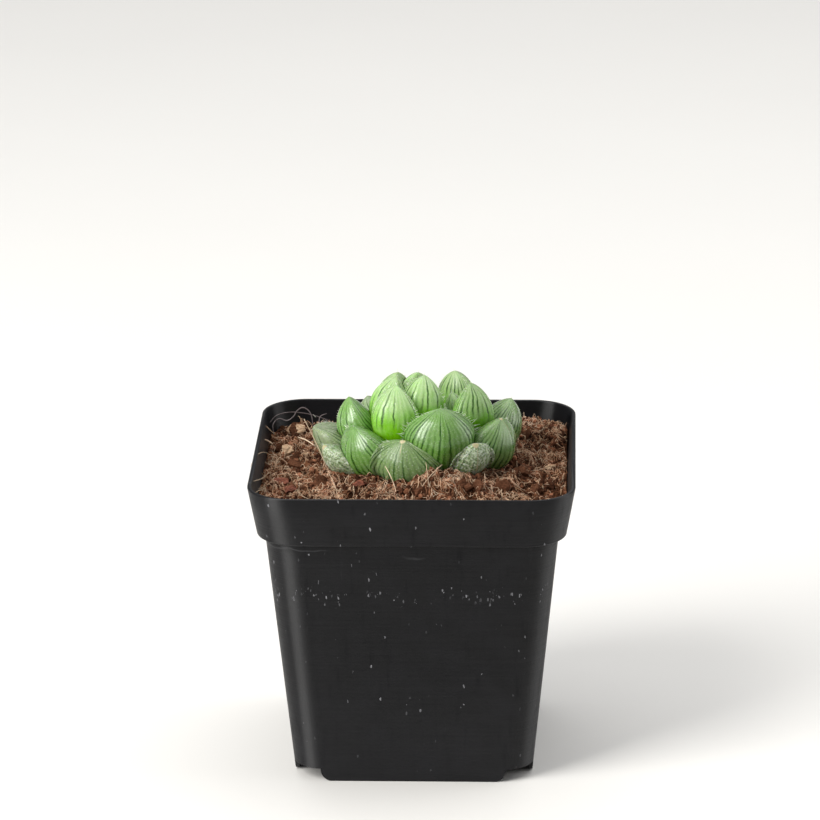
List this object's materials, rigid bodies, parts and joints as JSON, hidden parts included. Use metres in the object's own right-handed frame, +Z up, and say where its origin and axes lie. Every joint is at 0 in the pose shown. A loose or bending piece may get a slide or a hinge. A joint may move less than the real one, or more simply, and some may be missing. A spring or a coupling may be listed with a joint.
{
  "type": "potted haworthia",
  "caption": "Small haworthia rosette of plump, pointed, windowed leaves in coir soil, filling the mouth of a square tapered nursery pot with a stepped rim band.",
  "frame": {"origin": "centre of the pot's square footprint, at the height of the surface that it stands on", "axes": "+Z up out of the pot, -Y out of the front face of the pot, +X to the right of that face"},
  "size_m": [0.0634, 0.0634, 0.0765],
  "materials": {
    "black_plastic": "thin black moulded polypropylene, satin, with water spots and fine scuffs",
    "coir": "damp brown coconut coir with loose tan fibres",
    "bark": "reddish brown bark, matte",
    "crumb": "pale husk and wood crumbs, matte",
    "root": "buff fleshy root skin, matte",
    "young_leaf": "bright yellow-green waxy leaf skin with pale translucent window and dark green lines",
    "leaf": "blue-green waxy leaf skin with darker lines",
    "old_leaf": "greyed green leaf skin, drying at the tips"
  },
  "bodies": {
    "root": {"bark_chip_front": "bark", "bark_chip_front_left": "bark", "bark_chip_left": "bark", "heart_leaf_1": "young_leaf", "heart_leaf_2": "young_leaf", "heart_leaf_3": "young_leaf", "heart_leaf_4": "young_leaf", "inner_leaf_back": "young_leaf", "inner_leaf_back_left": "young_leaf", "inner_leaf_back_right": "young_leaf", "inner_leaf_front": "young_leaf", "inner_leaf_front_left": "young_leaf", "inner_leaf_left": "young_leaf", "inner_leaf_right": "young_leaf", "middle_leaf_back": "leaf", "middle_leaf_back_left": "leaf", "middle_leaf_back_right": "leaf", "middle_leaf_front": "leaf", "middle_leaf_front_left": "leaf", "middle_leaf_front_right": "leaf", "middle_leaf_left": "leaf", "middle_leaf_right": "leaf", "outer_leaf_back": "old_leaf", "outer_leaf_back_left": "old_leaf", "outer_leaf_back_right": "old_leaf", "outer_leaf_far_left": "old_leaf", "outer_leaf_front": "old_leaf", "outer_leaf_front_left": "old_leaf", "outer_leaf_front_right": "old_leaf", "outer_leaf_left": "old_leaf", "pot": "black_plastic", "soil": "coir", "stem_with_roots": "root", "wood_crumb_back_left": "crumb", "wood_crumb_left": "crumb", "wood_crumb_right": "crumb"}
  },
  "joints": []
}
